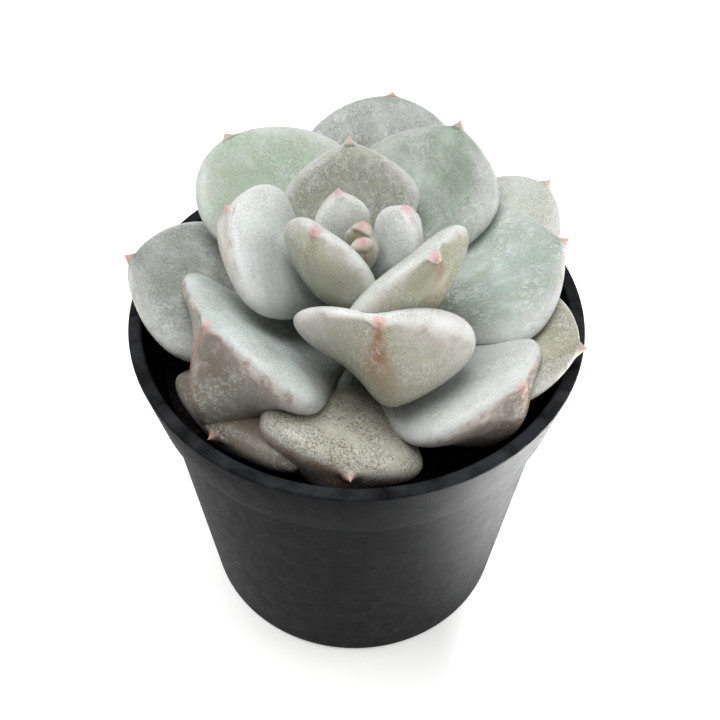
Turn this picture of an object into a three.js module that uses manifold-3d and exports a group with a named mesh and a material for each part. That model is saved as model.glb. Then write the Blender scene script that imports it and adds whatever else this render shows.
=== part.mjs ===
// A thick-leaved rosette succulent in its small round nursery pot.
// Millimetres, +Z up. The origin is the centre of the pot's underside, and the
// front of the plant looks towards -Y.
import * as THREE from 'three';
import { mergeVertices } from 'three/addons/utils/BufferGeometryUtils.js';
import Module from 'manifold-3d';

const wasm = await Module();
wasm.setup();

// ---- Driving dimensions ----
const POT_HEIGHT = 76;
const RIM_RADIUS = 45;
const BASE_RADIUS = 33;
const BAND_HEIGHT = 15;
const BAND_TAPER = 3.3;
const BAND_STEP = 1.6;
const RIM_WIDTH = 2.7;
const POT_WALL = 1.4;
const LEDGE_DROP = 1.2;
const DRAIN_COUNT = 6;
const DRAIN_RADIUS = 3.5;
const DRAIN_CIRCLE_RADIUS = 22;

const SOIL_DROP = 13;
const SOIL_CROWN = 1.5;
const STEM_RADIUS = 4.2;
const STEM_TOP_RADIUS = 1.6;
const STEM_TOP_LIFT = 9;
const ROOT_DEPTH = 14;
const SHOULDER_LIFT = 1.5;

// Gap that touching pieces keep.
const CLEARANCE = 0.3;

// Leaf thickness by tier: the flat blade, without its keel.
const RIM_THICKNESS = 10;
const FRONT_THICKNESS = 9;
const LOW_THICKNESS = 8;
const BACK_THICKNESS = 7;
const MIDDLE_THICKNESS = 7;
const THIN_THICKNESS = 6;
const INNER_THICKNESS = 6;
const CORE_THICKNESS = 5;
const BUD_THICKNESS = 3;

// How far the pointed tip of a leaf swells where it leaves the blade.
const TIP_RADIUS = 1.3;

const POT_SIDES = 64;
const STEM_SIDES = 16;
const LEAF_SIDES = 16;
const LEAF_RINGS = 11;

// ---- Values that follow from them ----
const BAND_FOOT = POT_HEIGHT - BAND_HEIGHT;
const BAND_FOOT_RADIUS = RIM_RADIUS - BAND_TAPER;
const NECK_RADIUS = BAND_FOOT_RADIUS - BAND_STEP;
const MOUTH_RADIUS = RIM_RADIUS - RIM_WIDTH;
const BAND_INNER_RADIUS = BAND_FOOT_RADIUS - RIM_WIDTH;
const WALL_SLOPE = (NECK_RADIUS - BASE_RADIUS) / BAND_FOOT;
const LEDGE_HEIGHT = BAND_FOOT - LEDGE_DROP;
const SOIL_TOP = POT_HEIGHT - SOIL_DROP;

const POT_COLOUR = 0x2b2c2e;
const SOIL_COLOUR = 0x1c1815;
const STEM_COLOUR = 0x8c8f78;
const LEAF_GREEN = 0xb7c2b4;
const LEAF_GREY = 0xbfc0bb;
const LEAF_BEIGE = 0xb0aa9c;
const LEAF_PINK = 0xcdb9b4;
const POT_ROUGHNESS = 0.55;
const SOIL_ROUGHNESS = 1;
const LEAF_ROUGHNESS = 0.6;

// ---- The rosette's leaves, youngest first ----
// heading: compass angle in degrees, 270 to the front, 0 to the right, 90 to the back.
// reach: distance of the tip from the plant's axis. tip, foot: heights above the pot's rim.
// rise, climb: slope in degrees where the leaf starts and where it ends.
// keel: depth of the ridge under the blade. trough: how far the blade folds up at its edges.
const ROSETTE = [
  {
    name: 'bud_leaf_back', colour: LEAF_PINK,
    heading: 60, reach: 1.8, tip: 22.5, foot: 11, rise: 80, climb: 90,
    width: 7, thickness: BUD_THICKNESS, keel: 1, trough: 0.1,
    tipLength: 1.2,
  },
  {
    name: 'bud_leaf_front', colour: LEAF_PINK,
    heading: 290, reach: 2.8, tip: 22.3, foot: 11, rise: 78, climb: 88,
    width: 7, thickness: BUD_THICKNESS, keel: 1, trough: 0.1,
    tipLength: 1.2,
  },
  {
    name: 'core_leaf_back', colour: LEAF_GREEN,
    heading: 115, reach: 9, tip: 25, foot: 9, rise: 35, climb: 82,
    width: 11.5, thickness: CORE_THICKNESS, keel: 2, trough: 0.1,
  },
  {
    name: 'core_leaf_right', colour: LEAF_GREEN,
    heading: 24, reach: 10, tip: 24.5, foot: 8, rise: 35, climb: 84,
    width: 12.5, thickness: CORE_THICKNESS, keel: 2, trough: 0.05,
    roll: 8, hook: 0.4, tipLength: 1.2,
  },
  {
    name: 'inner_leaf_front_left', colour: LEAF_GREEN,
    heading: 227, reach: 11.5, tip: 30, foot: 7, rise: 35, climb: 66,
    width: 22, thickness: INNER_THICKNESS, keel: 1.5, trough: 0.05,
    bow: 1, hook: 0.3, tipLength: 1,
  },
  {
    name: 'inner_leaf_front_right', colour: LEAF_GREEN,
    heading: 313, reach: 20.5, tip: 30, foot: 5.5, rise: 30, climb: 58,
    width: 30, thickness: MIDDLE_THICKNESS, keel: 3, trough: 0.05,
    roll: 4, bow: -0.5, end: 0.52, hook: 1.2, tipLength: 1,
  },
  {
    name: 'middle_leaf_back', colour: LEAF_GREY,
    heading: 94.5, reach: 25, tip: 24, foot: 3, rise: 25, climb: 60,
    width: 27, thickness: INNER_THICKNESS, keel: 4, trough: 0.15,
    point: 1.6, end: 0.7,
  },
  {
    name: 'middle_leaf_left', colour: LEAF_GREY,
    heading: 178, reach: 24.5, tip: 27, foot: 2.5, rise: 25, climb: 58,
    width: 29, thickness: MIDDLE_THICKNESS, keel: 3.5, trough: 0.1,
    roll: -6,
  },
  {
    name: 'middle_leaf_front', colour: LEAF_GREY,
    heading: 279, reach: 24.5, tip: 23.3, foot: -1, rise: 5, climb: 58,
    width: 33, thickness: RIM_THICKNESS, keel: 6.5, trough: 0.04,
    roll: -14, bow: 2.2, wide: 0.7, end: 0.46, flank: 3.6, otherFlank: 1.4, lean: 0.15, skew: 0.3, hook: 0.4, tipLength: 1,
  },
  {
    name: 'outer_leaf_back_right', colour: LEAF_GREEN,
    heading: 60, reach: 42, tip: 19, foot: 0, rise: 20, climb: 50,
    width: 31.5, thickness: BACK_THICKNESS, keel: 4, trough: 0.2,
    end: 0.68,
  },
  {
    name: 'outer_leaf_right', colour: LEAF_GREEN,
    heading: 14, reach: 43, tip: 10.5, foot: -2, rise: 10, climb: 38,
    width: 37, thickness: BACK_THICKNESS, keel: 4, trough: 0.2,
    roll: 5, end: 0.72,
  },
  {
    name: 'outer_leaf_back_left', colour: LEAF_GREEN,
    heading: 130, reach: 43, tip: 17.5, foot: -2, rise: 15, climb: 45,
    width: 36, thickness: BACK_THICKNESS, keel: 4, trough: 0.2,
    bow: -3, end: 0.5, tipLength: 1.2,
  },
  {
    name: 'outer_leaf_front_left', colour: LEAF_GREY,
    heading: 213, reach: 33, tip: 15, foot: -7, rise: 0, climb: 47,
    width: 41, thickness: LOW_THICKNESS, keel: 13, trough: 0.03,
    roll: 3, wide: 0.68, end: 0.5, flank: 4, otherFlank: 4.5, lean: 0.3, skew: 0.15, ridge: 0.6, hook: 0.6, tipLength: 1.4,
  },
  {
    name: 'outer_leaf_front_right', colour: LEAF_GREY,
    heading: 320, reach: 40, tip: 8.5, foot: -6.5, rise: 0, climb: 48,
    width: 32.5, thickness: LOW_THICKNESS, keel: 7, trough: 0.03,
    bow: -2, wide: 0.7, end: 0.48, flank: 2.5, lean: -0.1, ridge: 0.4, hook: 1, tipLength: 1.4,
  },
  {
    name: 'outer_leaf_left', colour: LEAF_GREY,
    heading: 173, reach: 46, tip: 9, foot: -6, rise: 5, climb: 33,
    width: 36, thickness: LOW_THICKNESS, keel: 7, trough: 0.05,
  },
  {
    name: 'low_leaf_back', colour: LEAF_GREY,
    heading: 81.5, reach: 48, tip: 17.5, foot: -4, rise: 15, climb: 40,
    width: 36, thickness: BACK_THICKNESS, keel: 3, trough: 0.15,
    end: 0.55, tipLength: 1.2,
  },
  {
    name: 'low_leaf_back_right', colour: LEAF_GREY,
    heading: 35, reach: 48.5, tip: 10.5, foot: -5, rise: 8, climb: 25,
    width: 27, thickness: BACK_THICKNESS, keel: 3, trough: 0.1,
    roll: -12, bow: -2.2, wide: 0.76, end: 0.6,
  },
  {
    name: 'low_leaf_right', colour: LEAF_BEIGE,
    heading: 343, reach: 45.5, tip: 4.5, foot: -7, rise: 5, climb: 12,
    width: 32, thickness: THIN_THICKNESS, keel: 3, trough: 0,
    wide: 0.7,
  },
  {
    name: 'low_leaf_front', colour: LEAF_BEIGE,
    heading: 269, reach: 40.5, tip: -1, foot: -8, rise: -3, climb: 12,
    width: 31, thickness: FRONT_THICKNESS, keel: 7, trough: 0,
    roll: -16, bow: -2.5, wide: 0.76, end: 0.55, hook: 0.5,
  },
  {
    name: 'low_leaf_front_left', colour: LEAF_BEIGE,
    heading: 228.5, reach: 40.7, tip: -2.5, foot: -9.3, rise: -3, climb: 8,
    width: 32, thickness: LOW_THICKNESS, keel: 4, trough: 0,
    wide: 0.84, end: 0.55,
  },
  {
    name: 'under_leaf_left', colour: LEAF_BEIGE,
    heading: 150, reach: 36, tip: 0, foot: -8.5, rise: 0, climb: 10,
    width: 26, thickness: THIN_THICKNESS, keel: 2, trough: 0,
  },
  {
    name: 'under_leaf_back', colour: LEAF_BEIGE,
    heading: 106, reach: 36, tip: 0, foot: -8.5, rise: 0, climb: 10,
    width: 26, thickness: THIN_THICKNESS, keel: 2, trough: 0,
  },
  {
    name: 'under_leaf_back_right', colour: LEAF_BEIGE,
    heading: 58, reach: 36, tip: 0, foot: -9, rise: 0, climb: 10,
    width: 26, thickness: THIN_THICKNESS, keel: 2, trough: 0,
  },
];

// What a leaf has unless its row says otherwise.
// roll: turn about its own length. bow: sideways bend. wide: where it is widest.
// point, end: shape of the outline from there to the tip. flank, otherFlank: hollow on either
// side of the keel. lean: how far off centre the keel is. ridge: how round the keel is.
// skew: extra thickness of one half. hook: how far the blade curls up past the pointed tip.
const LEAF_DEFAULTS = {
  roll: 0, bow: 0, wide: 0.64, point: 1.8, end: 0.62, flank: 1.5, lean: 0, ridge: 0.25, skew: 0, hook: 0,
  tipLength: 1.8,
};

// ---- What all leaves share ----
// Shares of the full width and thickness that a leaf has at its foot.
const NECK_SHARE = 0.3;
const FOOT_SHARE = 0.55;
// How slowly it widens from there, and how squarely its section is rounded at the rim.
const WIDENING = 1.6;
const EDGE_BLUNTNESS = 4;
// Where blade and keel are thickest, and how long they stay so before the tip.
const FULLEST = 0.6;
const TAPER_POWER = 2.4;
// The keel's share at the foot, and how soon it falls away at the rim.
const KEEL_FOOT_SHARE = 0.1;
const KEEL_EDGE_POWER = 0.4;
// Where the blade has folded up in full, and how the fold and the hook grow.
const FOLDED = 0.5;
const FOLD_POWER = 1.6;
const HOOK_POWER = 3;
// The pointed tip: how many tip lengths its root runs into the blade, and how hollow it is.
const TIP_ROOT = 2.6;
const TIP_POWER = 1.25;
// How round the foot is, and how far from the axis the topmost leaves start.
const FOOT_ROUNDING = 3;
const BUD_START = 1;
// Length of the spine's handles as a share of the distance between its ends.
const HANDLE_SHARE = 0.38;

// Points nearer than this are one point.
const WELD = 1e-4;

const clamp01 = (value) => Math.min(1, Math.max(0, value));
const ease = (value) => Math.sin((Math.PI / 2) * clamp01(value));

// ---- Joining and cutting ----
function welded(geometry) {
  const bare = geometry.clone();
  bare.deleteAttribute('normal');
  bare.deleteAttribute('uv');
  return mergeVertices(bare, WELD);
}

function toSolid(geometry) {
  const merged = welded(geometry);
  return new wasm.Manifold(new wasm.Mesh({
    numProp: 3,
    vertProperties: new Float32Array(merged.attributes.position.array),
    triVerts: new Uint32Array(merged.index.array),
  }));
}

function toGeometry(solid) {
  const mesh = solid.getMesh();
  const geometry = new THREE.BufferGeometry();
  geometry.setAttribute('position', new THREE.BufferAttribute(mesh.vertProperties, 3));
  geometry.setIndex(new THREE.BufferAttribute(mesh.triVerts, 1));
  geometry.computeVertexNormals();
  return geometry;
}

function largestPiece(solid) {
  const pieces = solid.decompose();
  return pieces.reduce((best, piece) => (piece.volume() > best.volume() ? piece : best));
}

// A turned solid: the profile is a list of [radius, height] points about the Z axis.
function turned(profile, sides) {
  const points = profile.map(([radius, height]) => new THREE.Vector2(radius, height));
  return new THREE.LatheGeometry(points, sides).rotateX(Math.PI / 2);
}

function piece(name, geometry, colour, roughness) {
  const material = new THREE.MeshStandardMaterial({ color: colour, roughness, metalness: 0 });
  const mesh = new THREE.Mesh(geometry, material);
  mesh.name = name;
  return mesh;
}

// ---- The pot ----
const innerRadiusAt = (height) => BASE_RADIUS + WALL_SLOPE * height - POT_WALL;

// swell makes the wall that much thicker on every side, for what has to stay clear of it.
function potProfile(swell) {
  return [
    [0, -swell],
    [BASE_RADIUS + swell, -swell],
    [NECK_RADIUS + swell, BAND_FOOT - swell],
    [BAND_FOOT_RADIUS + swell, BAND_FOOT - swell],
    [RIM_RADIUS + swell, POT_HEIGHT + swell],
    [MOUTH_RADIUS - swell, POT_HEIGHT + swell],
    [BAND_INNER_RADIUS - swell, BAND_FOOT + swell],
    [innerRadiusAt(LEDGE_HEIGHT) - swell, LEDGE_HEIGHT + swell],
    [innerRadiusAt(POT_WALL) - swell, POT_WALL + swell],
    [0, POT_WALL + swell],
  ];
}

function potGeometry() {
  let shell = toSolid(turned(potProfile(0), POT_SIDES));
  for (let i = 0; i < DRAIN_COUNT; i += 1) {
    const angle = (2 * Math.PI * (i + 0.5)) / DRAIN_COUNT;
    const drill = new THREE.CylinderGeometry(DRAIN_RADIUS, DRAIN_RADIUS, 4 * POT_WALL, STEM_SIDES);
    drill.rotateX(Math.PI / 2);
    drill.translate(DRAIN_CIRCLE_RADIUS * Math.cos(angle), DRAIN_CIRCLE_RADIUS * Math.sin(angle), 0);
    shell = shell.subtract(toSolid(drill));
  }
  return toGeometry(shell);
}

// ---- The soil, with a socket where the stem goes in ----
function soilProfile() {
  const floor = POT_WALL + CLEARANCE;
  const socketRadius = STEM_RADIUS + CLEARANCE;
  const socketFloor = SOIL_TOP - ROOT_DEPTH;
  const edge = Math.min(SOIL_TOP, LEDGE_HEIGHT);
  const topRadius = SOIL_TOP > BAND_FOOT
    ? BAND_INNER_RADIUS + ((MOUTH_RADIUS - BAND_INNER_RADIUS) * (SOIL_TOP - BAND_FOOT)) / BAND_HEIGHT
    : innerRadiusAt(SOIL_TOP);
  const profile = [
    [0, floor],
    [innerRadiusAt(floor) - CLEARANCE, floor],
    [innerRadiusAt(edge) - CLEARANCE, edge],
  ];
  if (SOIL_TOP > BAND_FOOT) {
    profile.push([innerRadiusAt(LEDGE_HEIGHT) - CLEARANCE, BAND_FOOT + CLEARANCE]);
    profile.push([topRadius - 2 * CLEARANCE, SOIL_TOP]);
  }
  profile.push([topRadius / 2, SOIL_TOP + SOIL_CROWN]);
  profile.push([socketRadius, SOIL_TOP + SOIL_CROWN]);
  profile.push([socketRadius, socketFloor]);
  profile.push([0, socketFloor]);
  return profile;
}

// ---- The stem ----
function stemRadiusAt(height) {
  const above = clamp01((height - POT_HEIGHT - SHOULDER_LIFT) / (STEM_TOP_LIFT - SHOULDER_LIFT));
  return THREE.MathUtils.lerp(STEM_RADIUS, STEM_TOP_RADIUS, above);
}

function stemProfile(swell) {
  return [
    [0, SOIL_TOP - ROOT_DEPTH + CLEARANCE - swell],
    [STEM_RADIUS + swell, SOIL_TOP - ROOT_DEPTH + CLEARANCE - swell],
    [STEM_RADIUS + swell, POT_HEIGHT + SHOULDER_LIFT],
    [STEM_TOP_RADIUS + swell, POT_HEIGHT + STEM_TOP_LIFT],
    [0, POT_HEIGHT + STEM_TOP_LIFT + STEM_TOP_RADIUS + swell],
  ];
}

// ---- The leaves ----
function startRadius(foot) {
  return foot > STEM_TOP_LIFT ? BUD_START : stemRadiusAt(POT_HEIGHT + foot) + CLEARANCE;
}

function spine(leaf, outward) {
  const at = (radius, height) => outward.clone().multiplyScalar(radius).setZ(height);
  const start = at(startRadius(leaf.foot), POT_HEIGHT + leaf.foot);
  const finish = at(leaf.reach, POT_HEIGHT + leaf.tip);
  const handle = HANDLE_SHARE * start.distanceTo(finish);
  const slope = (degrees) => {
    const angle = THREE.MathUtils.degToRad(degrees);
    return at(Math.cos(angle), Math.sin(angle)).multiplyScalar(handle);
  };
  const leaving = start.clone().add(slope(leaf.rise));
  const arriving = finish.clone().sub(slope(leaf.climb));
  return new THREE.CubicBezierCurve3(start, leaving, arriving, finish);
}

// Half width of the blade as a share of the whole, from foot (0) to tip (1).
function outline(leaf, along) {
  if (along < leaf.wide) return NECK_SHARE + (1 - NECK_SHARE) * ease(along / leaf.wide) ** WIDENING;
  return (1 - ((along - leaf.wide) / (1 - leaf.wide)) ** leaf.point) ** leaf.end;
}

// Thickness of the blade as a share of the whole.
function fullness(along) {
  if (along < FULLEST) return FOOT_SHARE + (1 - FOOT_SHARE) * ease(along / FULLEST);
  return Math.sqrt(1 - ((along - FULLEST) / (1 - FULLEST)) ** TAPER_POWER);
}

// The keel's depth as a share of the whole: 1 on the ridge and 0 at both edges of the leaf.
function keelShare(leaf, across, above) {
  const off = across - leaf.lean;
  const offRidge = off / (1 - leaf.lean * Math.sign(off));
  const flank = offRidge < 0 ? leaf.flank : leaf.otherFlank ?? leaf.flank;
  const fromRidge = (Math.hypot(offRidge, leaf.ridge) - leaf.ridge) / (Math.hypot(1, leaf.ridge) - leaf.ridge);
  return (1 - fromRidge) ** flank * Math.max(0, -above) ** KEEL_EDGE_POWER;
}

// The section of a leaf at a distance from its foot. across runs from -1 to 1 between the
// edges, and above is 1 on the upper face and -1 on the lower one.
function section(leaf, length, distance, across, above) {
  const along = clamp01(distance / (length - leaf.tipLength));
  const rounded = Math.sqrt(1 - (1 - clamp01(distance / FOOT_ROUNDING)) ** 2);
  const halfWidth = (leaf.width / 2) * outline(leaf, along) * rounded;
  const thickness = leaf.thickness * fullness(along) * rounded * (1 + leaf.skew * across);
  const keelGrowth = ease(KEEL_FOOT_SHARE + ((1 - KEEL_FOOT_SHARE) * along) / FULLEST);
  const keel = leaf.keel * fullness(along) * rounded * keelGrowth;
  const toTip = (length - distance) / leaf.tipLength;
  const tipRadius = TIP_RADIUS * toTip ** TIP_POWER * (1 - THREE.MathUtils.smoothstep(toTip, 1, TIP_ROOT));
  const reach = Math.cbrt(halfWidth ** 3 + tipRadius ** 3);
  const blend = reach > 0 ? halfWidth / reach : 0;
  const height = leaf.trough * halfWidth * ease(along / FOLDED) * Math.abs(across) ** FOLD_POWER
    + (thickness / 2) * above
    - keel * keelShare(leaf, across, above)
    + tipRadius * above * (1 - blend)
    + leaf.hook * along ** HOOK_POWER * blend;
  return { sideways: reach * across, height };
}

// A sphere drawn out along the spine: flat above, keeled below, pointed at the end.
function leafGeometry(row) {
  const leaf = { ...LEAF_DEFAULTS, ...row };
  const heading = THREE.MathUtils.degToRad(leaf.heading);
  const outward = new THREE.Vector3(Math.cos(heading), Math.sin(heading), 0);
  const sideways = new THREE.Vector3(-Math.sin(heading), Math.cos(heading), 0);
  const curve = spine(leaf, outward);
  const length = curve.getLength();
  const roll = THREE.MathUtils.degToRad(leaf.roll);
  const ball = new THREE.SphereGeometry(1, LEAF_SIDES, LEAF_RINGS);
  const position = ball.attributes.position;
  for (let i = 0; i < position.count; i += 1) {
    const share = clamp01((1 + position.getY(i)) / 2);
    const girth = Math.hypot(position.getX(i), position.getZ(i));
    const across = girth > WELD ? -position.getX(i) / girth : 0;
    const above = girth > WELD
      ? Math.sign(position.getZ(i)) * Math.sqrt(1 - Math.abs(across) ** EDGE_BLUNTNESS) : 0;
    const offset = section(leaf, length, share * length, across, above);
    const tangent = curve.getTangentAt(share);
    const upward = sideways.clone().cross(tangent).negate();
    const side = sideways.clone().multiplyScalar(Math.cos(roll)).addScaledVector(upward, Math.sin(roll));
    const lift = upward.clone().multiplyScalar(Math.cos(roll)).addScaledVector(sideways, -Math.sin(roll));
    const point = curve.getPointAt(share).addScaledVector(sideways, leaf.bow * 4 * share * (1 - share));
    point.addScaledVector(side, offset.sideways).addScaledVector(lift, offset.height);
    position.setXYZ(i, point.x, point.y, point.z);
  }
  return ball;
}

// The same leaf grown outwards all over by the clearance.
function swollen(geometry) {
  const merged = welded(geometry);
  merged.computeVertexNormals();
  const { position, normal } = merged.attributes;
  for (let i = 0; i < position.count; i += 1) {
    position.setXYZ(
      i,
      position.getX(i) + CLEARANCE * normal.getX(i),
      position.getY(i) + CLEARANCE * normal.getY(i),
      position.getZ(i) + CLEARANCE * normal.getZ(i),
    );
  }
  return toSolid(merged);
}

// ---- The assembly ----
const soil = toSolid(turned(soilProfile(), POT_SIDES));
const plant = new THREE.Group();
plant.add(piece('pot', potGeometry(), POT_COLOUR, POT_ROUGHNESS));
plant.add(piece('soil', toGeometry(soil), SOIL_COLOUR, SOIL_ROUGHNESS));
plant.add(piece('stem', toGeometry(toSolid(turned(stemProfile(0), STEM_SIDES))), STEM_COLOUR, LEAF_ROUGHNESS));

// Everything that a leaf has to stay clear of: the pot, the soil, the stem and each younger
// leaf, which lies above it and presses its own shape into it.
let taken = toSolid(turned(potProfile(CLEARANCE), POT_SIDES));
taken = taken.add(soil).add(soil.translate([0, 0, CLEARANCE]));
taken = taken.add(toSolid(turned(stemProfile(CLEARANCE), STEM_SIDES)));
for (const row of ROSETTE) {
  const blade = leafGeometry(row);
  const pressed = largestPiece(toSolid(blade).subtract(taken));
  plant.add(piece(row.name, toGeometry(pressed), row.colour, LEAF_ROUGHNESS));
  taken = taken.add(swollen(blade));
}

export default plant;
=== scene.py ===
"""Looks of a thick-leaved rosette succulent growing in a small black nursery pot.

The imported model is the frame. Every leaf is a fleshy blade that swells along a bent spine, with
a blunt rim, a ridge below and a short pointed tip, and older leaves are pressed by younger ones.
Lengths are in millimetres until a mesh is finished, and in metres from then on.
"""
import logging
import math
from dataclasses import dataclass, field
from enum import Enum
from typing import Optional, Union

import bmesh
import bpy
import numpy as np
from mathutils import Matrix, Vector, noise
from mathutils.bvhtree import BVHTree
from mathutils.kdtree import KDTree


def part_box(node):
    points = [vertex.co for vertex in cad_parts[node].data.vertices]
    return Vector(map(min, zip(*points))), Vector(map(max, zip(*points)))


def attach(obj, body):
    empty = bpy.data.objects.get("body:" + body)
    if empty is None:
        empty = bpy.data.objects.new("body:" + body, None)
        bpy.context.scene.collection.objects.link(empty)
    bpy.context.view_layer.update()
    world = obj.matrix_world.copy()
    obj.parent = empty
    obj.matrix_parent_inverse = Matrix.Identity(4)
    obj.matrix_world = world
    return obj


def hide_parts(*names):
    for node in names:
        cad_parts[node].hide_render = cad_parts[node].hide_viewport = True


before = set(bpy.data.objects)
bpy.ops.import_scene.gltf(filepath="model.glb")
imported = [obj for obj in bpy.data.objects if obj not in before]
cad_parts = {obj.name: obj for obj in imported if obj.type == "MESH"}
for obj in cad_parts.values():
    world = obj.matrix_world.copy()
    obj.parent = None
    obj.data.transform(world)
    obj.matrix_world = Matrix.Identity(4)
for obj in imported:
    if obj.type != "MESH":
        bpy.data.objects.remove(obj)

logging.basicConfig(level=logging.INFO, format="%(message)s")
log = logging.getLogger("succulent")

MM = 0.001
FLAT = 1e-4
BODY = "root"
# Keeps the leaves apart in the space of their own grain, per degree of heading.
PLACE_SPACING = 3.0
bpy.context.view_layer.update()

# How far the handles of a leaf's spine reach, as a share of its span, and how finely it is drawn.
SPINE_HANDLE = 0.38
SPINE_POINTS = 400
# Where a leaf is thickest, as a share of its length.
THICKEST = 0.6

# Sockets of the colour mix node, whose names repeat for each kind of value.
MIX_SHARE, MIX_UNDER, MIX_OVER, MIX_RESULT = 0, 6, 7, 2

Colour = tuple[float, float, float, float]
Socket = bpy.types.NodeSocket


class Slot(Enum):
    """The material slots."""

    POT = "pot_plastic"
    SOIL = "soil_mix"
    STEM = "stem_bark"
    GREEN = "leaf_green"
    GREY = "leaf_grey"
    BEIGE = "leaf_beige"
    BUD = "bud_pink"


# ---------------------------------------------------------------- helpers
def linear(hex_colour: str) -> Colour:
    """Turns an sRGB hex colour into linear light.

    Args:
        hex_colour: six hex digits, such as "c8d0c4".

    Returns:
        Red, green, blue and an alpha of 1.
    """
    channels = []
    for i in (0, 2, 4):
        value = int(hex_colour[i : i + 2], 16) / 255
        channels.append(value / 12.92 if value <= 0.04045 else ((value + 0.055) / 1.055) ** 2.4)
    return (channels[0], channels[1], channels[2], 1.0)


def add_node(
    tree: bpy.types.NodeTree,
    kind: str,
    inputs: Optional[dict] = None,
    output: Union[str, int] = 0,
    **settings: object,
) -> Socket:
    """Adds one shader node.

    Args:
        tree: the material's node tree.
        kind: the node's type name.
        inputs: each socket's constant value, or the output that feeds it.
        output: the output to hand back.
        **settings: the node's own properties.

    Returns:
        The chosen output.
    """
    node = tree.nodes.new(kind)
    for name, value in settings.items():
        setattr(node, name, value)
    for socket, value in (inputs or {}).items():
        if isinstance(value, bpy.types.NodeSocket):
            tree.links.new(value, node.inputs[socket])
        else:
            node.inputs[socket].default_value = value
    return node.outputs[output]


def clamp01(value: np.ndarray | float) -> np.ndarray | float:
    """Limits a value to the range from 0 to 1."""
    return np.clip(value, 0.0, 1.0)


def ease(value: np.ndarray | float) -> np.ndarray | float:
    """A quarter sine, from 0 at 0 to 1 at 1."""
    return np.sin(np.pi / 2 * clamp01(value))


def turn_round(shape: bmesh.types.BMesh, steps: int) -> None:
    """Spins a profile drawn in the XZ plane into a closed body.

    Args:
        shape: the mesh that holds the profile.
        steps: the number of sides.
    """
    bmesh.ops.spin(
        shape,
        geom=shape.verts[:] + shape.edges[:],
        axis=(0, 0, 1),
        cent=(0, 0, 0),
        steps=steps,
        angle=2 * math.pi,
        use_merge=True,
    )
    bmesh.ops.remove_doubles(shape, verts=shape.verts, dist=FLAT)
    bmesh.ops.recalc_face_normals(shape, faces=shape.faces)


def finish_piece(
    shape: bmesh.types.BMesh,
    name: str,
    material: bpy.types.Material,
    nodes: tuple[str, ...] = (),
) -> bpy.types.Object:
    """Turns a mesh in millimetres into a finished piece in metres.

    Args:
        shape: the mesh, which is freed.
        name: the piece's name.
        material: its material.
        nodes: the CAD nodes that it stands for.

    Returns:
        The new object.
    """
    bmesh.ops.scale(shape, vec=(MM, MM, MM), verts=shape.verts)
    for face in shape.faces:
        face.smooth = True
    mesh = bpy.data.meshes.new(name)
    shape.to_mesh(mesh)
    shape.free()
    mesh.materials.append(material)
    piece = bpy.data.objects.new(name, mesh)
    bpy.context.scene.collection.objects.link(piece)
    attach(piece, BODY)
    if nodes:
        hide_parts(*nodes)
    log.info("%s: %d faces", name, len(mesh.polygons))
    return piece


# ---------------------------------------------------------------- finishes
@dataclass(frozen=True)
class Fade:
    """A measure that fades in, from nothing at start to most at end, which may be the lower one."""

    measure: Socket
    start: float
    end: float
    most: float = 1.0

    def inputs(self) -> dict[str, Union[Socket, float]]:
        """The range's sockets by name."""
        return {"Value": self.measure, "From Min": self.start, "From Max": self.end, "To Max": self.most}


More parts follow.
